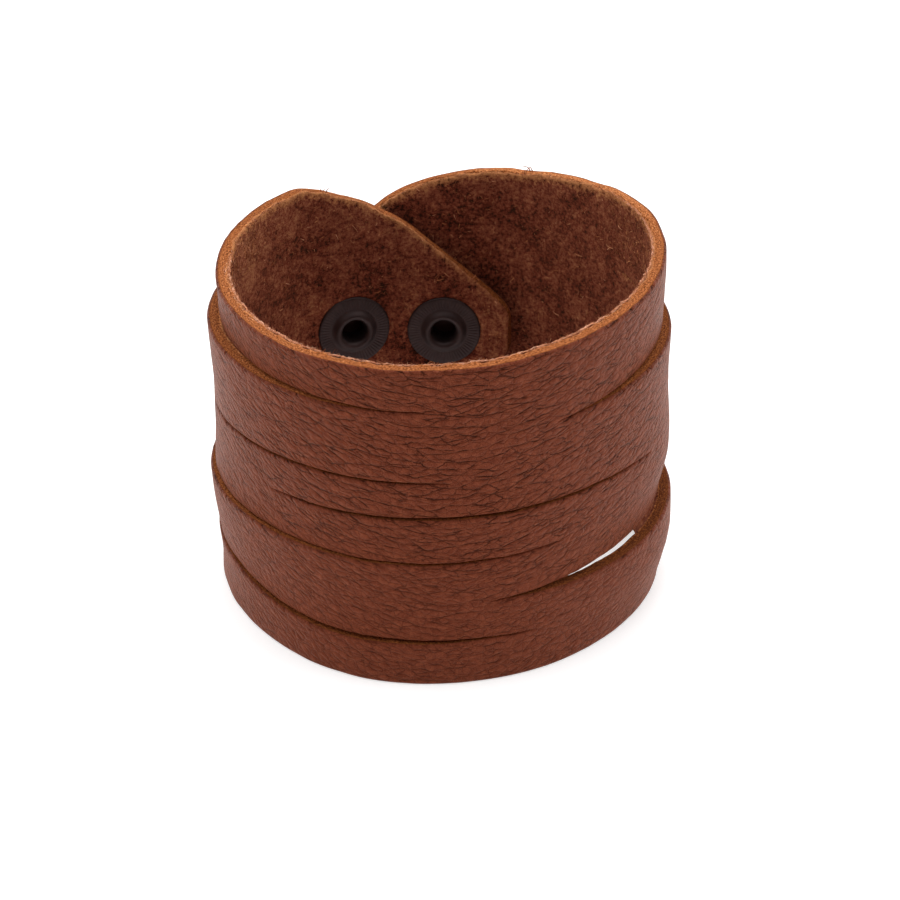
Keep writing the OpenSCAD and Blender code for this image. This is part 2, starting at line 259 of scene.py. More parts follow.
# Whether a running angle is on the inner flap and on the outer flap, by more than margin.
def onFlaps(a, margin=0):
    return a < strap["innerFlapEnd"] - margin, a > strap["outerFlapStart"] + margin


# The direction that a running angle faces, from -90 to 270 degrees.
def around(a):
    return np.where(a > strap["front"], a - 360, a)


# Plan of the strap at running angle a, off outward of its inner face: a circle with a two-lobed and a
# three-lobed wave, less the inner flap's drift, plus the climb over it, cut by the flats at the snaps.
def radius(a, off):
    s, turn = strap, np.radians
    base = s["cuffD"] / 2 * (1 + s["oval"] * np.cos(turn(2 * (a - s["ovalTurn"])))
                             + s["trefoil"] * np.cos(turn(3 * (a - s["trefoilTurn"]))))
    apart = np.abs(around(a) - s["shoulder"]) / s["swellReach"]
    swell = s["swell"] * np.cos(turn(90 * np.minimum(1, apart))) ** 2
    drift = s["innerDrift"] * np.maximum(0, (s["shoulder"] - a) / (s["shoulder"] - s["innerTip"])) ** 4
    rise = climb * smooth((a - s["climbFrom"]) / (s["climbTo"] - s["climbFrom"]))
    free = base - s["leatherT"] + swell - drift + rise + off
    flats = []
    for snap in snaps.values():
        bend = around(a) - snap["facing"]
        away = snap["distance"] + np.where(a > s["front"], climb, 0) + off
        flat = away / np.cos(turn(np.clip(bend, -80, 80)))
        flats.append(np.where(np.abs(bend) > s["flatReach"], s["cuffD"], flat))
    return blendMin(blendMin(flats[0], flats[1], s["flatRound"]), free, s["flatRound"])


# Share of the full width at a distance s from a tip: a straight taper blended into the full width.
def flapShare(s):
    taper = blendMin(strap["tipW"] / 2 + strap["flapSlope"] * s, strap["fullHalf"], strap["shoulderRound"])
    return (taper - quarterRound(s, strap["tipRound"])) / strap["fullHalf"]


# Depth of a rounded arris at a distance from the edge: r - sqrt(r^2 - (r - distance)^2).
def quarterRound(distance, r):
    return np.where(distance < r, r - np.sqrt(np.maximum(r ** 2 - (r - distance) ** 2, 0)), 0)


# Lengths along the leather from the inner and the outer flap's tip.
def tipDistance(a):
    return (np.radians(a - strap["innerTip"]) * strap["innerFlapR"],
            np.radians(strap["outerTip"] - a) * strap["outerFlapR"])


# Height z drawn to the middle height by both flaps' tapers.
def squeeze(z, a):
    inner, outer = tipDistance(a)
    return strap["midZ"] + (z - strap["midZ"]) * flapShare(inner) * flapShare(outer)


# 0 at the slit's start to 1 at its end.
def along(slit, a):
    return clamp((a - slit["start"]) / (slit["end"] - slit["start"]))


# sin(180 u^k)^sharp along the slit, with k such that it is 1 at the peak.
def bell(slit, a, peak, sharp):
    power = math.log(0.5) / math.log(peak)
    return np.sin(np.pi * along(slit, a) ** power).clip(0) ** sharp


# Quadratic through the slit's three heights, less its sag.
def slitZ(slit, a):
    u = along(slit, a)
    start, middle, end = slit["zStart"], slit["zMid"], slit["zEnd"]
    curve = start * (1 - u) * (1 - 2 * u) + middle * 4 * u * (1 - u) + end * u * (2 * u - 1)
    return curve - slit["sag"] * bell(slit, a, slit["peak"], 4)


# Whether a line is a cut at a running angle: the two edges always are.
def isOpen(line, a):
    if line in (0, topLine):
        return np.ones_like(a, bool)
    return (a > slits[line - 1]["start"]) & (a < slits[line - 1]["end"])


# 0 where a slit is closed, rising to 1 over slitFade degrees from its ends.
def openness(line, a):
    if line in (0, topLine):
        return np.ones_like(a)
    slit = slits[line - 1]
    return clamp(np.minimum(a - slit["start"], slit["end"] - a) / strap["slitFade"])


# A relief of the strap: height * (coarse soft noise + share * fine soft noise).
def relief(name, u, v):
    height, coarse, fine, share, seed = strap[name]
    return height * (softNoise(u, v, coarse, seed) + share * softNoise(u, v, fine, seed + 1))


# Height of a line, on the strip below it or above it. The knife wandered a little along the rim and the
# slits; below a slit the edge is lower by the kerf and by the gape.
def lineZ(line, below, a):
    if line == 0:
        return squeeze(np.zeros_like(a), a)
    wave = relief("edgeWave", a, line * 9.0)
    if line == topLine:
        return squeeze(np.interp(a, rimRows[:, 0], rimRows[:, 1]) + wave, a)
    slit = slits[line - 1]
    z = slitZ(slit, a) + strap["slitWave"] * wave
    if below:
        u = along(slit, a)
        z = z - strap["kerf"] * np.minimum(1, strap["kerfRise"] * np.minimum(u, 1 - u))
        z = z - slit["gape"] * bell(slit, a, slit["gapePeak"], 2)
    return squeeze(z, a)


# How pale the cut is along a line: the rim's upward cut is paler partly as painted light, and the slits' and
# the lower edge's cuts are darker partly as painted shade.
def cutTone(line, a):
    if line == topLine:
        return np.interp(a, *rimTonesAndLight)
    return slits[line - 1]["tone"] if line else strap["baseTone"]


# How frayed the rim is: 1 round the front, 0 on the flaps.
def frayedShare(a):
    return between(a, strap["frayFrom"], strap["frayTo"])


# cos(90 u)^2, 0 from 1 on.
def hump(u):
    return np.cos(np.pi / 2 * np.minimum(1, np.abs(u))) ** 2


# How far the face of a strip stands out at height z: the swells and all slits' lips and tucks added up.
def leanOut(strip, z, a):
    off = sum(out * hump((a - middle) / reach) * hump((z - level) / tall)
              for middle, reach, level, tall, out in swells) * np.ones(np.broadcast(z, a).shape)
    for k, slit in enumerate(slits):
        rise = z - slitZ(slit, a)
        if k == strip:
            rise = np.minimum(rise, -1e-6)
        if k == strip - 1:
            rise = np.maximum(rise, 0)
        out = slit["lip"] * np.maximum(0, 1 + rise / slit["lipReach"])
        inward = slit["tuck"] * np.maximum(0, 1 - rise / slit["tuckReach"])
        off = off + bell(slit, a, slit["peak"], slit["sharp"]) * np.where(rise < 0, out, -inward)
    return off


# Length along the strap from the inner tip: the sum of the steps of the plan's middle line.
def runLength(a):
    fine = np.linspace(strap["innerTip"], strap["outerTip"], 4000)
    x, y, _ = np.diff(place(fine, 0, 0, strap["leatherT"] / 2), axis=0).T
    return np.interp(a, fine, np.concatenate([[0], np.cumsum(np.hypot(x, y))]))


# Point at running angle a and height z, depth inward of the outer face: (r cos a, r sin a, z).
def place(a, z, off, depth):
    a, z, off, depth = np.broadcast_arrays(a, z, off, depth)
    r = radius(a, off + strap["leatherT"] - depth)
    return np.stack([r * np.cos(np.radians(a)), r * np.sin(np.radians(a)), z], -1)


# 0 within smoothR of a snap's axis on the flaps, 1 from a millimetre farther on.
def clearOfSnaps(points, a):
    clear, near = 1.0, np.logical_or(*onFlaps(a))
    for snap in snaps.values():
        clear = clear * np.where(near, smooth(fromAxis(points, snap) - seats["smoothR"]), 1)
    return clear


# The snaps' metal presses a round seat into the leather, which swells a little round it. With e = r - size,
# the face moves along the snap's axis by depth (1 - smooth(e / soft)) - ring exp(-((e - ringAt) / soft)^2).
def pressFlat(points, a, face):
    for snap in snaps.values():
        r = fromAxis(points, snap)
        for near, size in zip(onFlaps(a), seats[face]):
            push = seats["depth"] * (1 - smooth((r - size) / seats["soft"]))
            push = push - seats["ring"] * np.exp(-((r - size - seats["ringAt"]) / seats["soft"]) ** 2)
            points = points + (near * push * (1 if face == "inner" else -1))[..., None] * snapAxes(snap)[0]
    return points


# Keeps a grid of points and their attributes in stock, and gives the points' numbers.
def store(stock, points, depth, edgeGap, tone, fray=0):
    first = sum(len(chunk) for chunk in stock["points"])
    stock["points"].append(points.reshape(-1, 3))
    for name, values in (("depth", depth), ("edgeGap", edgeGap), ("tone", tone), ("fray", fray)):
        stock[name].append(np.broadcast_to(values, points.shape[:-1]).ravel())
    return first + np.arange(points[..., 0].size).reshape(points.shape[:-1])


# Running angles of the grid's columns: a degree apart, and nearer the tips reach * (1 - cos t) from them.
def columnAngles():
    first, last, reach = strap["innerTip"], strap["outerTip"], strap["tipReach"]
    steps = reach * (1 - np.cos(np.linspace(0, np.pi / 2, strap["tipSteps"] + 1)[:-1]))
    return np.concatenate([first + steps, np.arange(first + reach, last - reach + 1), (last - steps)[::-1]])


# A cut face's roughness: soft noise + markShare * soft noise that is longer along the strap. Every cut has
# its own stretch of both.
def cutRoughness(run, inwards, line, edge):
    k = knife
    rough = softNoise(run, inwards + 40 * line + 3 * (edge + 1), k["roughCell"], k["roughSeed"])
    marks = softNoise(run * k["markSquash"], inwards + 20 * line, k["markCell"], k["roughSeed"] + 1)
    return rough + k["markShare"] * marks


# How far the rim's inner arris is torn inwards and upwards: coarse and fine tears along the strap, less by
# exp(-below / tornReach). The rise lags behind by riseLag columns.
def tornArris(run, below):
    k = knife
    fineTears = softNoise(run, 7, k["fineTearCell"], k["tearSeed"] + 1)
    tears = softNoise(run, 0, k["tearCell"], k["tearSeed"]) + k["fineShare"] * fineTears
    near = k["torn"] * np.exp(-below / k["tornReach"])
    return near * (tears + k["tornInwards"]), k["tornRise"] * near * np.roll(tears, k["riseLag"], 0)


# One strip between two lines. Its outer and inner faces are grids of running angle by height, its bottom and
# top cut faces grids of running angle by depth.
def buildStrip(stock, s, a, run):
    t = strap["leatherT"]
    low, high = lineZ(s, False, a), lineZ(s + 1, True, a)
    tall = high - low
    openLow, openHigh = openness(s, a), openness(s + 1, a)
    tips = np.minimum(*tipDistance(a))
    rows = max(3, round(float(tall[len(a) // 2, 0]) / strap["rowStep"]))
    arris = np.array(strap["arrisSteps"]) * strap["outerRound"]
    arris = arris * np.minimum(1, tall / (5 * strap["outerRound"]))
    inside = arris[:, 2:] + (tall - 2 * arris[:, 2:]) * np.linspace(0, 1, rows)[1:-1]
    rise = np.concatenate([arris, inside, tall - arris[:, ::-1]], 1)
    z = low + rise
    off = leanOut(s, z, a)
    lean = (leanOut(s, high, a) - leanOut(s, low, a)) / tall
    liftLow, liftHigh = t * lean * openLow * (s > 0), t * lean * openHigh * (s + 1 < topLine)
    gapLow = rise + strap["closedGap"] * (1 - openLow) + strap["slitEdgeGap"] * (s > 0)
    gapHigh = (high - z) + strap["closedGap"] * (1 - openHigh) + strap["slitEdgeGap"] * (s + 1 < topLine)
    gap = np.minimum(np.minimum(gapLow, gapHigh), tips)

    def arrisDepth(r):
        edges = np.maximum(openLow * quarterRound(rise, r), openHigh * quarterRound(high - z, r))
        return np.maximum(edges, quarterRound(tips, r))

    depth = arrisDepth(strap["outerRound"])
    grainy = place(a, z, off, depth - relief("grainRelief", run, z))
    outer = store(stock, pressFlat(grainy, a, "outer"), depth, gap, 0)

    share = rise / tall
    zIn = z + liftLow * (1 - share) + liftHigh * share
    nap = relief("fleshRelief", run, z) * clearOfSnaps(place(a, z, off, t), a)
    depthIn = t - arrisDepth(strap["innerRound"])
    if s + 1 == topLine:
        torn, risen = tornArris(run, high - z)
        depthIn, zIn = depthIn - torn, zIn + risen
    napped = place(a, zIn, off, depthIn + nap)
    inner = store(stock, pressFlat(napped, a, "inner"), depthIn, gap, np.interp(a, *napTones))

    sides = []
    for line, edge, lift, opened in ((s, 0, liftLow, openLow), (s + 1, -1, liftHigh, openHigh)):
        first, last = depth[:, [edge]], depthIn[:, [edge]]
        inwards = first + (last - first) * cutSteps[1:-1]
        rough = cutRoughness(run, inwards, line, edge)
        zCut = z[:, [edge]] + lift * inwards / t + knife["rough"] * opened * rough * (1 if edge else -1)
        if line == 0:
            zCut = np.maximum(zCut, 0)
        fray = frayedShare(a) if line == topLine else 0
        cutFace = place(a, zCut, off[:, [edge]], inwards)
        sides.append(store(stock, cutFace, inwards, 0, cutTone(line, a), fray))
    return {"outer": outer, "inner": inner, "bottom": sides[0], "top": sides[1], "z": z}


# The quads of a grid of point numbers with their corners' map and their material, less those that keep leaves
# out. flip is the way of the grid that is turned round, so that the quads face outward.
def patch(index, u, v, kind, keep=True, flip=()):
    uv = np.flip(np.stack(np.broadcast_arrays(u, v), -1), flip)
    keep = np.flip(np.broadcast_to(keep, (index.shape[0] - 1, index.shape[1] - 1)), flip).ravel()
    return gridFaces(np.flip(index, flip))[keep], gridFaces(uv)[keep], np.full(int(keep.sum()), kind)


# A strip's faces, and its cut faces where their lines are open. Every face has its own stretch of the strap's
# map. The hide's folds droop to the middle of the front, so the grain's map is lowered by a soft V.
def stripPatches(part, s, angles, run, kept):
    droop = strap["grainDroop"] * np.hypot(run - runLength(strap["droopMiddle"]), strap["droopSoft"])
    patches = [patch(part["outer"], run, part["z"] - droop, 0, kept),
               patch(part["inner"], run, part["z"] + strap["fleshMap"], 1, kept, 1)]
    for line, edge, side in ((s, 0, "bottom"), (s + 1, -1, "top")):
        opened = isOpen(line, angles)
        opened = (opened[:-1] | opened[1:])[:, None]
        rows = np.concatenate([part["outer"][:, [edge]], part[side], part["inner"][:, [edge]]], 1)
        across = strap["cutMap"] + 6 * line - 3 * edge + strap["leatherT"] * cutSteps
        patches.append(patch(rows, run, across, 2, opened, () if edge else 1))
    return patches


# The cut across a flap's tip, a grid of straight lines from the outer to the inner face.
def tipPatch(stock, strips, outerRow, innerRow, column):
    across, q = strap["leatherT"] * cutSteps[:, None], cutSteps[1:-1, None, None]
    points = np.concatenate(stock["points"])
    straight = points[outerRow] * (1 - q) + points[innerRow] * q
    index = store(stock, straight, across[1:-1], 0, strap["tipTone"])
    index[:, 0], index[:, -1] = strips[0]["bottom"][column], strips[-1]["top"][column]
    cap = np.concatenate([outerRow[None], index, innerRow[None]])
    up = points[outerRow][None, :, 2] + strap["tipMap"]
    return patch(cap, across + (strap["outerTipMap"] if column else 0), up, 2, flip=() if column else 0)


# The walls of the snaps' holes: a quad from face to face wherever a left-out cell meets a kept one.
def holeWalls(holes, outer, inner):
    padded = np.pad(holes, 1)
    c, k = np.nonzero(padded[1:, 1:-1] != padded[:-1, 1:-1])
    wall = np.stack([outer[c, k], outer[c, k + 1], inner[c, k + 1], inner[c, k]], -1)
    upright = np.where(padded[c, k + 1][:, None], wall, wall[:, ::-1])
    c, k = np.nonzero(padded[1:-1, 1:] != padded[1:-1, :-1])
    wall = np.stack([outer[c, k], inner[c, k], inner[c + 1, k], outer[c + 1, k]], -1)
    level = np.where(padded[c + 1, k][:, None], wall, wall[:, ::-1])
    quads = np.concatenate([upright, level])
    corners = np.tile(np.array([[0, 0], [1, 0], [1, 1], [0, 1]]) + (0, strap["holeMap"]), (len(quads), 1, 1))
    return quads, corners, np.full(len(quads), 2)


# The strap is built strip by strip. Cut faces join a strip's two faces where a line is open; where it is
# closed, the strips on its two sides share their points. Cells under a snap's flanges are left out.
def buildStrap():
    angles = columnAngles()
    a, run = angles[:, None], runLength(angles)[:, None]
    stock = {name: [] for name in ("points", "depth", "edgeGap", "tone", "fray")}
    strips = [buildStrip(stock, s, a, run) for s in range(topLine)]
    outer, inner = (np.concatenate([part[face][:, :-1] for part in strips] + [strips[-1][face][:, -1:]], 1)
                    for face in ("outer", "inner"))

    points = np.concatenate(stock["points"])
    middle = (points[outer][:-1, :-1] + points[outer][1:, 1:]) / 2
    holes = np.zeros(middle.shape[:-1], bool)
    for snap in snaps.values():
        holes |= (fromAxis(middle, snap) < seats["holeR"]) & np.logical_or(*onFlaps(a[:-1]))

    patches, row = [], 0
    for s, part in enumerate(strips):
        cells = part["z"].shape[1] - 1
        patches += stripPatches(part, s, angles, run, ~holes[:, row:row + cells])
        row += cells
    for column in (0, -1):
        patches.append(tipPatch(stock, strips, outer[column], inner[column], column))
    patches.append(holeWalls(holes, outer, inner))

    points = np.concatenate(stock["points"])
    same = np.arange(len(points))
    for line in range(1, topLine):
        closed = ~isOpen(line, angles)
        under, over = strips[line - 1], strips[line]
        for face in ("outer", "inner"):
            same[over[face][closed, 0]] = under[face][closed, -1]
        same[over["bottom"][closed]] = under["top"][closed]
    faces, maps, kinds = (np.concatenate(parts) for parts in zip(*patches))
    attributes = {name: np.concatenate(stock[name]) for name in ("depth", "edgeGap", "tone", "fray")}
    attributes["depth"] = attributes["depth"] / strap["leatherT"]
    return points, same[faces], kinds, maps, attributes


# The strap's own map in millimetres along and up, turned by turn degrees, over scale.
def strapCoordinates(add, scale=(1, 1), turn=0):
    own = add("UVMap", {}, uv_map="strapMap")
    turned = add("Mapping", {"Vector": own, "Rotation": (0, 0, math.radians(turn)), "Scale": (1000,) * 3})
    return add("Mapping", {"Vector": turned, "Scale": (1 / scale[0], 1 / scale[1], 1)})


# Creases between irregular cells of a size in millimetres. With q the point over the cell size, d the step
# between the two nearest centres and D1, D2 their distances, the border is (D2^2 - D1^2) / 2 |d / cell| away
# and runs level by |d.y / cell.y| / |d / cell|. The creases are the smooth step of that distance over width,
# and the cells' rounded sides that over 4 widths, both times the levelness to the power level: folds that run
# round the cuff are made deeper, and the painted shade that the creases carry is darker there, as light from
# above shades level creases most. shift gives a net its own cells, and a noise bends them.
def cellCreases(add, cell, turn, width, level, shift):
    size, push = grain["wander"]
    moved = add("VectorMath ADD", (strapCoordinates(add, cell, turn), (shift, shift, 0)))
    wander = add("TexNoise", {"Vector": moved, "Scale": 1 / size, "Detail": 4, "Roughness": 0.6}, "Color")
    wander = add("VectorMath SUBTRACT", (wander, (0.5, 0.5, 0.5)))
    point = add("VectorMath MULTIPLY_ADD", (wander, (push, push, 0), moved))
    near, far = (add("TexVoronoi", {"Vector": point, "Scale": 1, "Randomness": 1}, feature=feature,
                     voronoi_dimensions="2D").node.outputs for feature in ("F1", "F2"))
    step = add("VectorMath SUBTRACT", (far["Position"], near["Position"]))
    slope = add("VectorMath MULTIPLY", (step, (1 / cell[0], 1 / cell[1], 0)))
    steep = add("VectorMath LENGTH", [slope], "Value")
    upward = add("Math ABSOLUTE", [add("SeparateXYZ", [slope], "Y")])
    levelness = add("Math POWER", (add("Math DIVIDE", (upward, steep)), level))
    squares = [add("Math POWER", (centre["Distance"], 2)) for centre in (far, near)]
    twiceApart = add("Math DIVIDE", (add("Math SUBTRACT", squares), steep))
    parts = []
    for reach in (width, 4 * width):
        part = add("MapRange", (twiceApart, 0, 2 * reach, 1, 0), interpolation_type="SMOOTHSTEP")
        parts.append(add("Math MULTIPLY", (part, levelness)))
    return parts


# In the dictionaries of the materials, noise sizes are millimetres. Four numbers together map one range to
# another: from, to, and what the two become.

# Tumbled full-grain cowhide: milling raises long, flat cells parted by creases that run mostly round the
# cuff, with a finer net inside them, all darkened with painted shade. The waxy dressing gives it a broad,
# soft shine.
grain = {
    # nets of creases: cell along and up, turn, width in cells, power of the levelness, shift
    "broad": ((4.2, 1.5), -2, 0.16, 1.2, 3.1), "crossing": ((3.0, 1.35), 12, 0.16, 1.2, 11.7),
    "fine": ((1.5, 0.95), 10, 0.13, 0.3, 7.3), "wander": (1.1, 0.8),  # size and push, in cells
    # how far each net shows, by a noise of spotSize
    "broadSpots": (0.38, 0.56, 0.35, 1), "crossingSpots": (0.45, 0.6, 0.15, 1),
    "fineSpots": (0.4, 0.6, 0.275, 0.5), "spotSize": 2.5,
    "pulledSmooth": (8 * mm, 26 * mm, 0.5, 1),  # by height
    "creaseDepth": 0.08, "sideDepth": 0.13, "fineDepth": 0.045, "fineSide": 0.085,
    "pore": 0.17, "poreDepth": 0.09, "poreShare": 0.55, "patch": 1.1111, "patchShare": 0.45,
    # the last colour is the painted shade mixed into the creases
    "stops": [(0.38, "5B2A1C"), (0.5, "6A3424"), (0.62, "7C402C")], "creaseShade": "260A05",
    "roughness": (0.3, 0.7, 0.4, 0.5), "specular": 0.1, "sheen": 0.19, "shine": "FF9C64",
}


# Tone on the stops by patches and pores, with painted shade mixed in at the creases; height by the pores less
# all creases.
def grainLeather(add):
    g, plain = grain, strapCoordinates(add)
    broad, crossing, fine = (cellCreases(add, *g[net]) for net in ("broad", "crossing", "fine"))
    spots = add("TexNoise", {"Vector": plain, "Scale": 1 / g["spotSize"], "Detail": 2}, "Color")
    here, there, _ = add("SeparateXYZ", [spots]).node.outputs

    # the folds come and go, those that cross more so, and the lowest strips are pulled smoother
    z = add("SeparateXYZ", [add("TexCoord", {}, "Object")], "Z")
    smoother = add("MapRange", (z, *g["pulledSmooth"]))
    folds = []
    for net, spot, shares in ((broad, here, g["broadSpots"]), (crossing, there, g["crossingSpots"])):
        share = add("Math MULTIPLY", (add("MapRange", (spot, *shares)), smoother))
        folds.append([add("Math MULTIPLY", (part, share)) for part in net])
    deep, sides = (add("Math MAXIMUM", pair) for pair in zip(*folds))
    fineLine = add("Math MULTIPLY", (fine[0], add("MapRange", (here, *g["fineSpots"]))))

    patchy = add("TexNoise", {"Vector": plain, "Scale": 1 / g["patch"], "Detail": 3})
    pore = add("TexNoise", {"Vector": plain, "Scale": 1 / g["pore"], "Detail": 2})
    level = add("Math MULTIPLY", (patchy, g["patchShare"]))
    level = add("Math MULTIPLY_ADD", (pore, g["poreShare"], level))
    tone = add("ValToRGB", [level], stops=g["stops"])
    # painted shade in the fine creases, then in the broad and crossing ones
    for line in (fineLine, deep):
        tone = add("Mix", {0: line, 6: tone, 7: g["creaseShade"]}, 2, data_type="RGBA")
    height = add("Math MULTIPLY", (pore, g["poreDepth"]))
    for hollow, depth in zip((deep, sides, *fine), ("creaseDepth", "sideDepth", "fineDepth", "fineSide")):
        height = add("Math MULTIPLY_ADD", (hollow, -g[depth], height))
    return {"Base Color": tone, "Roughness": add("MapRange", (pore, *g["roughness"])),
            "Normal": add("Bump", {"Height": height, "Strength": 1, "Distance": mm}),
            "Specular IOR Level": g["specular"], "Specular Tint": g["shine"],
            "Sheen Weight": g["sheen"], "Sheen Roughness": 0.4, "Sheen Tint": g["shine"]}


# The flesh side, split and buffed to a short suede nap: dark, speckled with lighter fibre ends, and paler in
# a ragged band along the cut edges, where the dye missed the fibres.
flesh = {
    "speck": 0.5, "speckShare": 0.66, "clump": 1.3, "clumpShare": 0.34, "cloud": 6.25, "cloudShare": 0.3,
    "stops": [(0.55, "220A04"), (0.63, "6C2E1F"), (0.71, "8B4B35"), (0.8, "AE6E4C")], "edge": "C08050",
    "rimPaler": (0, 14, 0.05, 0),  # by the distance from a cut
    "edgeBand": 1.3, "edgeRagged": 7, "edgeShare": 0.85, "edgeUpper": (30 * mm, 42 * mm, 0.2, 1),
    "napDepth": 0.8, "sheen": 0.25, "shine": "D08A60",
}


# Tone on the stops by specks, clumps and clouds. The pale band lies where the distance from a cut is less
# than edgeRagged (height - 0.5) + edgeBand, and fades on the lower strips.
def suedeLeather(add):
    f, plain = flesh, strapCoordinates(add)
    speck = add("TexNoise", {"Vector": plain, "Scale": 1 / f["speck"], "Detail": 4, "Roughness": 0.75})
    clump, cloud = (add("TexNoise", {"Vector": plain, "Scale": 1 / f[size], "Detail": 3})
                    for size in ("clump", "cloud"))
    gap, paler = (add("Attribute", {}, "Fac", attribute_name=name) for name in ("edgeGap", "tone"))
    height = add("Math MULTIPLY", (speck, f["speckShare"]))
    height = add("Math MULTIPLY_ADD", (clump, f["clumpShare"], height))
    level = add("Math MULTIPLY_ADD", (cloud, f["cloudShare"], height))
    level = add("Math MULTIPLY_ADD", (add("MapRange", (gap, *f["rimPaler"])), paler, level))
    tone = add("ValToRGB", [level], stops=f["stops"])
    ragged = add("Math MULTIPLY_ADD", (height, -f["edgeRagged"], gap))
    middle = -0.5 * f["edgeRagged"]
    atEdge = add("MapRange", (ragged, middle, middle + f["edgeBand"], f["edgeShare"], 0))
    z = add("SeparateXYZ", [add("TexCoord", {}, "Object")], "Z")
    atEdge = add("Math MULTIPLY", (atEdge, add("MapRange", (z, *f["edgeUpper"]))))
    return {"Base Color": add("Mix", {0: atEdge, 6: tone, 7: f["edge"]}, 2, data_type="RGBA"),
            "Normal": add("Bump", {"Height": height, "Strength": 1, "Distance": f["napDepth"] * mm}),
            "Roughness": 0.95, "Specular IOR Level": 0.08,
            "Sheen Weight": f["sheen"], "Sheen Roughness": 0.5, "Sheen Tint": f["shine"]}


# The knife's cut through the hide: pale orange-tan fibres under a thin dyed skin, darker towards the flesh,
# with pale fibre roots along the rim's inner arris. Depths are shares of the leather's thickness.
cut = {
    "fibre": (0.7, 0.18), "fibreTurn": 12, "fibreShare": 0.4, "speck": 0.34, "speckShare": 0.6,
    "stops": [(0.22, "4E2410"), (0.42, "80451F"), (0.6, "A45E32"), (0.84, "C07646"), (1, "DE9A62")],
    "spread": (0.1, 0.35, 1, 3.4), "spreadByTone": (0.4, 0.6), "level": 0.35, "byDepth": -0.1, "byTone": 0.26,
    "roots": "E4A284", "rootBand": (0.84, 0.97, 0, 0.75), "rootClumps": (0.42, 0.56, 0, 1), "bump": 0.3,
}


# Tone on the stops = level + byDepth depth + byTone tone + spread (height - 0.5). Under the skin the speckle
# spreads over more of the stops, and more so in pale cuts.
def cutLeather(add):
    c = cut
    depth, tone, fray = (add("Attribute", {}, "Fac", attribute_name=name)
                         for name in ("depth", "tone", "fray"))
    streaks = add("TexNoise", {"Vector": strapCoordinates(add, c["fibre"], c["fibreTurn"]), "Scale": 1,
                               "Detail": 3, "Roughness": 0.65})
    speck = add("TexNoise", {"Vector": strapCoordinates(add), "Scale": 1 / c["speck"], "Detail": 3,
                             "Roughness": 0.7})
    height = add("Math MULTIPLY", (streaks, c["fibreShare"]))
    height = add("Math MULTIPLY_ADD", (speck, c["speckShare"], height))
    spread = add("Math MULTIPLY_ADD", (tone, *c["spreadByTone"]))
    spread = add("Math MULTIPLY", (add("MapRange", (depth, *c["spread"])), spread))
    level = add("Math MULTIPLY_ADD", (depth, c["byDepth"], c["level"]))
    # the tone attribute brings in the painted light on the rim's cut and the painted shade in the slits
    level = add("Math MULTIPLY_ADD", (tone, c["byTone"], level))
    level = add("Math MULTIPLY_ADD", (add("Math SUBTRACT", (height, 0.5)), spread, level))
    colour = add("ValToRGB", [level], stops=c["stops"])
    roots = add("Math MULTIPLY", (add("MapRange", (depth, *c["rootBand"])), fray))
    roots = add("Math MULTIPLY", (add("MapRange", (speck, *c["rootClumps"])), roots))
    return {"Base Color": add("Mix", {0: roots, 6: colour, 7: c["roots"]}, 2, data_type="RGBA"),
            "Normal": add("Bump", {"Height": height, "Strength": 1, "Distance": c["bump"] * mm}),
            "Roughness": 0.9, "Specular IOR Level": 0.1}


# Loose collagen fibres along the cut edges: each has its own shade, dyed brown to the pink of bare fibre.
fibre = {"stops": [(0, "5C2616"), (0.25, "84482E"), (0.5, "B87348"), (0.8, "E5A37C"), (1, "F2BFA0")],
         "roughness": 0.8, "specular": 0.2}


# Tone on the stops by the fibre's own shade.
def hideFibre(add):
    tone = add("ValToRGB", [add("Attribute", {}, "Fac", attribute_name="shade")], stops=fibre["stops"])
    return {"Base Color": tone, "Roughness": fibre["roughness"], "Specular IOR Level": fibre["specular"]}


# Pressed brass with a black nickel plating gone dull in the barrel: a dark metal with a wide, weak shine.
metal = {"cloud": 2.381, "scuff": 0.3125, "stops": [(0.3, "372B2A"), (0.55, "403332"), (0.8, "4A3C3A")],
         "roughness": (0.3, 0.7, 0.46, 0.56), "scuffDepth": 0.01, "metallic": 0.75}


# Tone and roughness by the clouds, height by the scuffs.
def blackNickel(add):
    spot = add("TexCoord", {}, "Object")
    cloud, scuff = (add("TexNoise", {"Vector": spot, "Scale": 1 / (metal[size] * mm), "Detail": detail})
                    for size, detail in (("cloud", 3), ("scuff", 2)))
    return {"Base Color": add("ValToRGB", [cloud], stops=metal["stops"]),
            "Roughness": add("MapRange", (cloud, *metal["roughness"])), "Metallic": metal["metallic"],
            "Normal": add("Bump", {"Height": scuff, "Strength": 0.5, "Distance": metal["scuffDepth"] * mm})}


strapMaterials = [newMaterial("tumbledGrainLeather", grainLeather),
                  newMaterial("suedeFleshSide", suedeLeather), newMaterial("knifeCutEdge", cutLeather)]
fibreMaterial = newMaterial("looseHideFibre", hideFibre)
snapMaterial = newMaterial("blackNickelPlating", blackNickel)
print("materials made")

# The strap's box is centred on the solid strap's, and what goes with it is moved by the same cuffShift.
points, faces, kinds, maps, attributes = buildStrap()
cadLow, cadHigh = (np.array(corner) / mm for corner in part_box("leather_band"))
cuffShift = ((cadLow + cadHigh) / 2 - (points.min(0) + points.max(0)) / 2) * (1, 1, 0)
strapPiece = meshPiece("leatherStrap", points + cuffShift, faces, strapMaterials, kinds, maps, attributes)
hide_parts("leather_band")
print("strap made", len(faces), "faces, shifted by", cuffShift.round(3))


# The snaps' own pieces are profiles turned about each snap's axis. Depths run outward from the inner face.

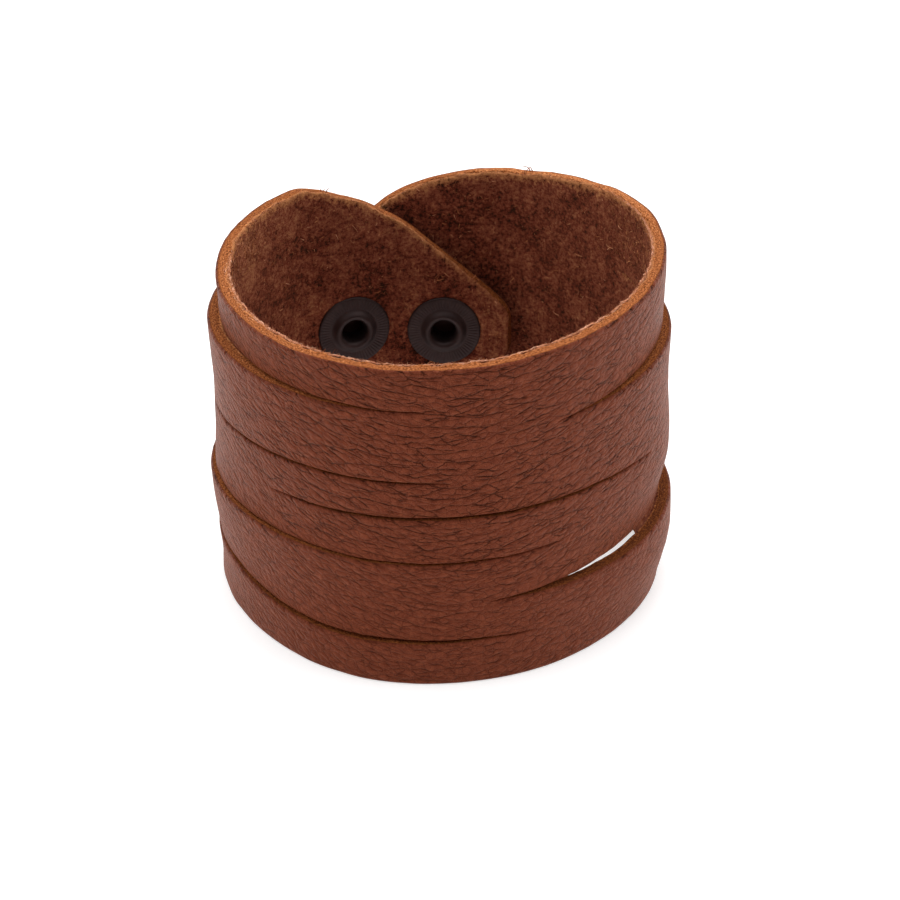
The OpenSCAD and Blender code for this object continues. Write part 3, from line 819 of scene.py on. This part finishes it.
snapSizes = {
    "flangeR": 5.65, "front": -0.15, "back": 0.2, "holeR": 1.8, "barrelR": 2.1, "barrelEnd": 2.9,
    "rollR": 0.69, "rollH": 0.58, "rollInset": 0.12, "flank": 1.1,
    "ribs": 64, "ribDepth": 0.05, "ribFrom": 3.6, "ribTo": 5.55, "ribEnds": (0.35, 0.15),
    "capR": 6.0, "capBase": 5.5, "capH": 2.0, "capEdge": 0.25, "shankEnd": 3.75,
    # corners: how far in of the edge, how far off the face
    "flangeCorner": [(0, 0.14), (0.06, 0.04), (0.18, 0)], "capCorner": [(0.03, 0.05), (0.1, 0)],
    "plateInset": 0.4, "plateGap": 0.05, "throat": 0.35,
    "eyeletSteps": 384, "capSteps": 128, "plateRings": 12, "flankRings": 10, "rollRings": 9, "domeRings": 19,
}


# A profile of (radius, depth) carried round a snap's axis: radius * (sin, cos) across, depth outward. With
# ribs, the front stands forward by ribDepth (1 + cos(ribs * angle)) / 2 between ribFrom and ribTo.
def turned(profile, snap, steps, ribbed=False):
    s = snapSizes
    r, w = np.array(profile, float).T
    angle = np.linspace(0, 2 * np.pi, steps, endpoint=False)[:, None]
    if ribbed:
        inner, outer = s["ribEnds"]
        share = smooth((r - s["ribFrom"]) / inner) * smooth((s["ribTo"] - r) / outer)
        w = w - s["ribDepth"] * share * (0.5 + 0.5 * np.cos(s["ribs"] * angle))
    r, w = np.broadcast_arrays(r, w + 0 * angle)
    normal, side = snapAxes(snap)
    outward, across = snap["distance"] + w, snap["slide"] + r * np.sin(angle)
    points = normal * outward[..., None] + side * across[..., None]
    points[..., 2] = snap["level"] + r * np.cos(angle)
    return points.reshape(-1, 3) + cuffShift, np.arange(r.size).reshape(r.shape)


# The flange's front from its edge inwards, over the roll, down the barrel's inside and back outside it. The
# flank rises to the roll by the smooth step, and the roll is a quarter of an ellipse rollR by rollH.
def eyeletProfile(s):
    front, edge, middle = s["front"], s["flangeR"], s["holeR"] + s["rollInset"] + s["rollR"]
    rim = [(edge, s["back"])] + [(edge - inset, front + down) for inset, down in s["flangeCorner"]]
    foot = middle + s["flank"] + s["plateGap"]
    plate = [(r, front) for r in np.linspace(edge - s["plateInset"], foot, s["plateRings"])]
    flank = [(middle + s["flank"] * (1 - q), front - s["rollH"] * float(smooth(q)))
             for q in np.linspace(0, 0.95, s["flankRings"])]
    roll = [(middle + s["rollR"] * math.cos(a), front - s["rollH"] * math.sin(a))
            for a in np.radians(np.linspace(90, 180, s["rollRings"]))]
    inside = [(s["holeR"], front + s["throat"]), (s["holeR"], s["barrelEnd"]),
              (s["barrelR"], s["barrelEnd"]), (s["barrelR"], s["back"])]
    return rim + plate + flank + roll + inside


# A quarter ellipse over a short straight edge, closed underneath, with the shank through the leather.
def capProfile(s):
    outer, base, end, shank = s["capR"], s["capBase"], s["shankEnd"], s["barrelR"]
    start = base + s["capEdge"]
    dome = [(outer * math.cos(a), start + (s["capH"] - s["capEdge"]) * math.sin(a))
            for a in np.radians(np.linspace(90, 0, s["domeRings"]))]
    dome[0] = (0.0, dome[0][1])
    corner = [(outer - inset, base + up) for inset, up in s["capCorner"]]
    return dome + corner + [(shank, base), (shank, end), (0.0, end)]


for name, snap in snaps.items():
    points, index = turned(eyeletProfile(snapSizes), snap, snapSizes["eyeletSteps"], ribbed=True)
    ring = np.concatenate([index, index[:, :1]], 1)
    eyelet = meshPiece("snapEyelet_" + name, points, gridFaces(ring, wrap=True), [snapMaterial], sharp=45)
    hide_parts("snap_eyelet_" + name)
    points, index = turned(capProfile(snapSizes), snap, snapSizes["capSteps"])
    index[:, 0], index[:, -1] = index[0, 0], index[0, -1]
    cap = meshPiece("snapCap_" + name, points, gridFaces(index, wrap=True), [snapMaterial], sharp=45)
    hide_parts("snap_cap_" + name)
    for part in ("stud", "socket"):
        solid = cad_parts["snap_" + part + "_" + name]
        solid.data.materials.clear()
        solid.data.materials.append(snapMaterial)
print("snaps made")


# Loose fibres: short fuzz and longer frayed strands along the rim's inner arris, nap on the flesh side and a
# few stray curls. Each is a thin three-sided tube.

fibreWidth = 0.055
arrisDepth = 2.04  # how far in of the outer face the rim's inner arris is

# Pairs are from and to, or a middle and its spread. Clumps and waves are the cells of soft noises in degrees.
fuzz = {
    "count": 8500, "length": 0.27, "points": 4, "widths": (0.6, 1.5), "clump": 0.9, "thinning": (-1.2, 0.6),
    "thinOnFlaps": 0.9, "leftFrom": 125, "leftTo": 225, "thickLeft": 0.9, "spread": 0.09, "spreadLeft": 0.25,
    "depths": (0.1, 2.15), "up": (0.35, 0.25), "inward": (0.15, 0.35), "forward": 1.2, "bend": 0.5,
    "sunk": 0.04, "shade": (0.68, 0.24), "darkOnFlaps": 0.35, "tipGap": 0.5,
}
strands = {
    "count": 1000, "from": 172, "to": 378, "clump": 1.6, "thinning": (-0.9, 0.5), "reach": (0.8, 2.8),
    "points": 10, "thickness": 1.3, "widths": (0.6, 1.6), "shade": (0.74, 0.2),
    # middle, size and wave of each wandering
    "depth": (arrisDepth, 0.12, 0.8), "rise": (0.02, 0.14, 0.7), "inward": (0.05, 0.16, 0.9),
    "common": (0.09, 1.6),  # size and wave of the rise that neighbours share
}
nap = {
    "count": 9000, "length": 0.5, "points": 4, "widths": (1.0, 3.2), "arch": 0.15, "heights": (0.03, 0.99),
    "darkest": 0.1, "paler": 0.72, "tipGap": 2, "clearTip": 1, "clearSnap": 6.6, "lift": 0.02,
}
curls = {
    "angles": [123.2, 124.0, 124.6, 426.0, 425.4, 427.0, 426.6, 141.0, 402.0, 80.0, 79.0],
    "lengths": [1.4, 0.9, 0.6, 1.9, 1.3, 0.9, 1.5, 0.6, 0.6, 1.3, 1.0], "thickness": 4.6, "points": 9,
    "depths": (0.8, 1.9), "bow": 0.22, "curl": 0.5, "straighten": 0.35, "shades": (0.25, 0.55),
}


# v / |v|.
def unit(v):
    return v / np.linalg.norm(v, axis=-1, keepdims=True)


# Round each row of points a triangle of width (1 - 0.7 t) across the row's own direction, t from 0 to 1.
def tubes(name, spine, width, shade):
    count, rings = spine.shape[:2]
    tangent = unit(np.gradient(spine, axis=1))
    across = unit(np.cross(tangent, (0.31, 0.22, 0.92)))
    other = np.cross(tangent, across)
    angle = np.radians([0, 120, 240])[:, None]
    size = width[:, None, None, None] / 2 * (1 - 0.7 * np.linspace(0, 1, rings)[:, None, None])
    corner = np.cos(angle) * across[:, :, None] + np.sin(angle) * other[:, :, None]
    points = spine[:, :, None] + size * corner
    index = np.arange(count * rings * 3).reshape(count, rings, 3)
    beside = np.roll(index, -1, 2)
    sides = np.stack([index[:, :-1], beside[:, :-1], beside[:, 1:], index[:, 1:]], -1).reshape(-1, 4)
    ends = np.concatenate([index[:, 0][:, [2, 1, 0, 0]], index[:, -1][:, [0, 1, 2, 2]]])
    piece = meshPiece(name, points.reshape(-1, 3) + cuffShift, np.concatenate([sides, ends]), [fibreMaterial],
                      attributes={"shade": np.repeat(np.clip(shade, 0, 1), rings * 3)})


# Points on the rim's cut at running angle a and a depth, with unit vectors outward, along the strap and up.
def rimFrame(a, depth):
    def at(a):
        z = lineZ(topLine, True, a)
        return place(a, z, leanOut(topLine - 1, z, a), depth)

    point = at(a)
    forward = unit(at(a + 0.3) - point)
    up = unit(np.array([0, 0, 1]) - forward * forward[..., 2:])
    return point, np.cross(forward, up), forward, up


# Lengths about a mean by the gamma distribution of shape 3, one for each fibre.
def fibreLengths(rng, mean, count):
    return rng.gamma(3.0, mean / 3, (count, 1, 1))


# root + length (t out + bend t^2 forward), in clumps, and thicker and more spread out on the left.
def shortFuzz(f, seed):
    rng = np.random.default_rng(seed)
    a = rng.uniform(strap["innerTip"] + f["tipGap"], strap["outerTip"] - f["tipGap"], f["count"])
    bare = rng.uniform(*f["thinning"], len(a)) + f["thinOnFlaps"] * (1 - frayedShare(a))
    a = a[softNoise(a, 0.0, f["clump"], seed + 1) > bare]
    count = len(a)
    left = between(a, f["leftFrom"], f["leftTo"])
    depth = np.clip(rng.normal(arrisDepth, f["spread"] + f["spreadLeft"] * left), *f["depths"])
    point, outward, forward, up = rimFrame(a, depth)
    lean = rng.normal(0, 1, (count, 3)).T[..., None]
    rise, inward = (f[way][0] + f[way][1] * lean[k] for k, way in enumerate(("up", "inward")))
    out = unit(up * rise - outward * inward + forward * f["forward"] * lean[2])
    t = np.linspace(0, 1, f["points"])[None, :, None]
    length = fibreLengths(rng, f["length"], count)
    bend = rng.normal(0, f["bend"], (count, 1, 1))
    spine = (point - up * f["sunk"])[:, None] + length * (t * out[:, None] + bend * t ** 2 * forward[:, None])
    width = fibreWidth * (1 + f["thickLeft"] * left) * rng.uniform(*f["widths"], count)
    tubes("rimFuzz", spine, width, rng.normal(*f["shade"], count) - f["darkOnFlaps"] * (1 - frayedShare(a)))


# Strands that wander along the arris: their depth and rise are soft noises of the running angle.
def frayedStrands(f, seed):
    rng = np.random.default_rng(seed)
    start = rng.uniform(f["from"], f["to"], f["count"])
    bare = rng.uniform(*f["thinning"], len(start))
    start = start[softNoise(start, 3.0, f["clump"], seed + 5) > bare][:, None]
    count = len(start)
    a = start + rng.uniform(*f["reach"], (count, 1)) * np.linspace(0, 1, f["points"])
    own = rng.uniform(0, 200, (count, 1))
    depth, rise, inward = (f[way][0] + f[way][1] * softNoise(a, own, f[way][2], seed + step)
                           for way, step in (("depth", 1), ("rise", 2), ("inward", 4)))
    size, wave = f["common"]
    rise = rise + size * softNoise(a, 0.0, wave, seed + 3)
    point, outward, forward, up = rimFrame(a, depth)
    spine = point + up * rise[..., None] - outward * inward[..., None]
    width = f["thickness"] * fibreWidth * rng.uniform(*f["widths"], count)
    tubes("rimStrands", spine, width, rng.normal(*f["shade"], count))


# Short fibres lying on the flesh side where no slit is near: root + length (t along + a low arch inward).
def napFibres(f, seed):
    rng = np.random.default_rng(seed)
    a = rng.uniform(strap["innerTip"] + f["tipGap"], strap["outerTip"] - f["tipGap"], f["count"])
    back = np.logical_or(*onFlaps(a, 1))
    low = np.where(back, lineZ(0, False, a), lineZ(topLine - 1, False, a))
    z = low + (lineZ(topLine, True, a) - low) * rng.uniform(*f["heights"], len(a))
    clear = np.minimum(*tipDistance(a)) > f["clearTip"]
    point = place(a, z, leanOut(topLine - 1, z, a), strap["leatherT"] + f["lift"])
    for snap in snaps.values():
        clear &= (fromAxis(point, snap) > f["clearSnap"]) | ~back
    a, point = a[clear], point[clear]
    count = len(a)
    inward = -np.stack([np.cos(np.radians(a)), np.sin(np.radians(a)), 0 * a], -1)
    turn = rng.uniform(0, 2 * np.pi, (count, 1))
    lying = np.cos(turn) * np.cross(inward, (0, 0, 1)) + np.sin(turn) * np.array([0, 0, 1])
    t = np.linspace(0, 1, f["points"])[None, :, None]
    length = fibreLengths(rng, f["length"], count)
    spine = point[:, None] + length * (t * lying[:, None] + f["arch"] * np.sin(np.pi * t) * inward[:, None])
    width = fibreWidth * rng.uniform(*f["widths"], count)
    tubes("suedeNap", spine, width, f["darkest"] + f["paler"] * rng.beta(1.2, 2.6, count))


# Single long fibres off the flaps' upper edges: root + length (t up + bow t^2 forward + curl t^3 outward),
# with the rise less by straighten t.
def strayCurls(f, seed):
    rng = np.random.default_rng(seed)
    a, length = np.array(f["angles"]), np.array(f["lengths"])[:, None, None]
    point, outward, forward, up = rimFrame(a, rng.uniform(*f["depths"], len(a)))
    t = np.linspace(0, 1, f["points"])[None, :, None]
    bow = rng.normal(0, f["bow"], (len(a), 1, 1))
    curl = rng.normal(0, f["curl"], (len(a), 1, 1))
    bent = t * up[:, None] * (1 - f["straighten"] * t) + bow * t ** 2 * forward[:, None]
    bent = bent + curl * t ** 3 * outward[:, None]
    width = np.full(len(a), f["thickness"] * fibreWidth)
    tubes("strayFibres", point[:, None] + length * bent, width, rng.uniform(*f["shades"], len(a)))


shortFuzz(fuzz, 101)
frayedStrands(strands, 111)
napFibres(nap, 121)
strayCurls(curls, 131)
print("fibres made")


# Floor, light and camera. Studio sizes are metres.

studio = {
    "floorHalf": 3.0, "floorGrey": 0.78, "floorGlow": 0.42,
    "around": 1.0, "front": 0.2,  # strength of the light from all round, and from the camera's side
    "dim": (-0.95, -0.2),  # the Y of the directions that it changes between
    # square lights: place, target, size, power
    "lights": {"topLight": ((0.0, 0.3, 0.9), (0, 0, 0.02), 0.9, 6.0),
               "leftLight": ((-0.8, -0.25, 0.45), (0, 0, 0.03), 0.6, 1.4),
               "rightLight": ((0.8, -0.1, 0.4), (0, 0, 0.03), 0.6, 1.4)},
}


# Matt white paper that glows a little, so that it shows as plain as a studio's lit sweep.
def whitePaper(add):
    return {"Base Color": (*[studio["floorGrey"]] * 3, 1), "Roughness": 0.9, "Specular IOR Level": 0.1,
            "Emission Color": "FFFFFF", "Emission Strength": studio["floorGlow"]}


half = studio["floorHalf"]
corners = [(-half, -half, 0), (half, -half, 0), (half, half, 0), (-half, half, 0)]
floorMesh = bpy.data.meshes.new("paleFloor")
floorMesh.from_pydata(corners, [], [(0, 1, 2, 3)])
floorMesh.materials.append(newMaterial("whitePaper", whitePaper))
floor = bpy.data.objects.new("paleFloor", floorMesh)
bpy.context.scene.collection.objects.link(floor)


# Light from all round that falls off smoothly towards the camera's side, where the studio is dark.
def studioWorld():
    world = bpy.data.worlds.new("studio")
    world.use_nodes = True
    tree = world.node_tree
    back = addNode(tree, "SeparateXYZ", [addNode(tree, "TexCoord", {}, "Generated")], "Y")
    strength = addNode(tree, "MapRange", (back, *studio["dim"], studio["front"], studio["around"]),
                       interpolation_type="SMOOTHSTEP")
    background = tree.nodes["Background"]
    background.inputs["Color"].default_value = (1, 1, 1, 1)
    tree.links.new(strength, background.inputs["Strength"])
    bpy.context.scene.world = world


# A square area light at spot that faces target.
def softbox(name, spot, target, size, power):
    lamp = bpy.data.lights.new(name, "AREA")
    lamp.shape, lamp.size, lamp.energy = "SQUARE", size, power
    holder = bpy.data.objects.new(name, lamp)
    holder.location = spot
    holder.rotation_mode = "QUATERNION"
    holder.rotation_quaternion = (Vector(spot) - Vector(target)).to_track_quat("Z", "Y")
    bpy.context.scene.collection.objects.link(holder)


studioWorld()
for name, light in studio["lights"].items():
    softbox(name, *light)

photograph = {"elevation": 28, "distance": 560, "aimZ": 25, "focalPixels": 3779.4, "pixels": 900,
              "aimX": 439.35, "aimY": 418.74, "sensor": 36}


# A camera at the distance from the aim point, raised by the elevation, that has the point at its pixel.
def photographCamera(p):
    up = math.radians(p["elevation"])
    aim = np.array([0, 0, p["aimZ"]]) + cuffShift
    lens = bpy.data.cameras.new("photographCamera")
    lens.sensor_width = p["sensor"]
    lens.lens = p["focalPixels"] / p["pixels"] * p["sensor"]
    lens.shift_x = (p["pixels"] / 2 - p["aimX"]) / p["pixels"]
    lens.shift_y = (p["aimY"] - p["pixels"] / 2) / p["pixels"]
    lens.clip_start, lens.clip_end = 0.01, 20
    camera = bpy.data.objects.new("photographCamera", lens)
    camera.location = (aim + p["distance"] * np.array([0, -math.cos(up), math.sin(up)])) * mm
    camera.rotation_euler = (math.pi / 2 - up, 0, 0)
    bpy.context.scene.collection.objects.link(camera)
    bpy.context.scene.camera = camera


photographCamera(photograph)
bpy.context.scene.view_settings.view_transform = "Standard"
print("floor, light and camera made")
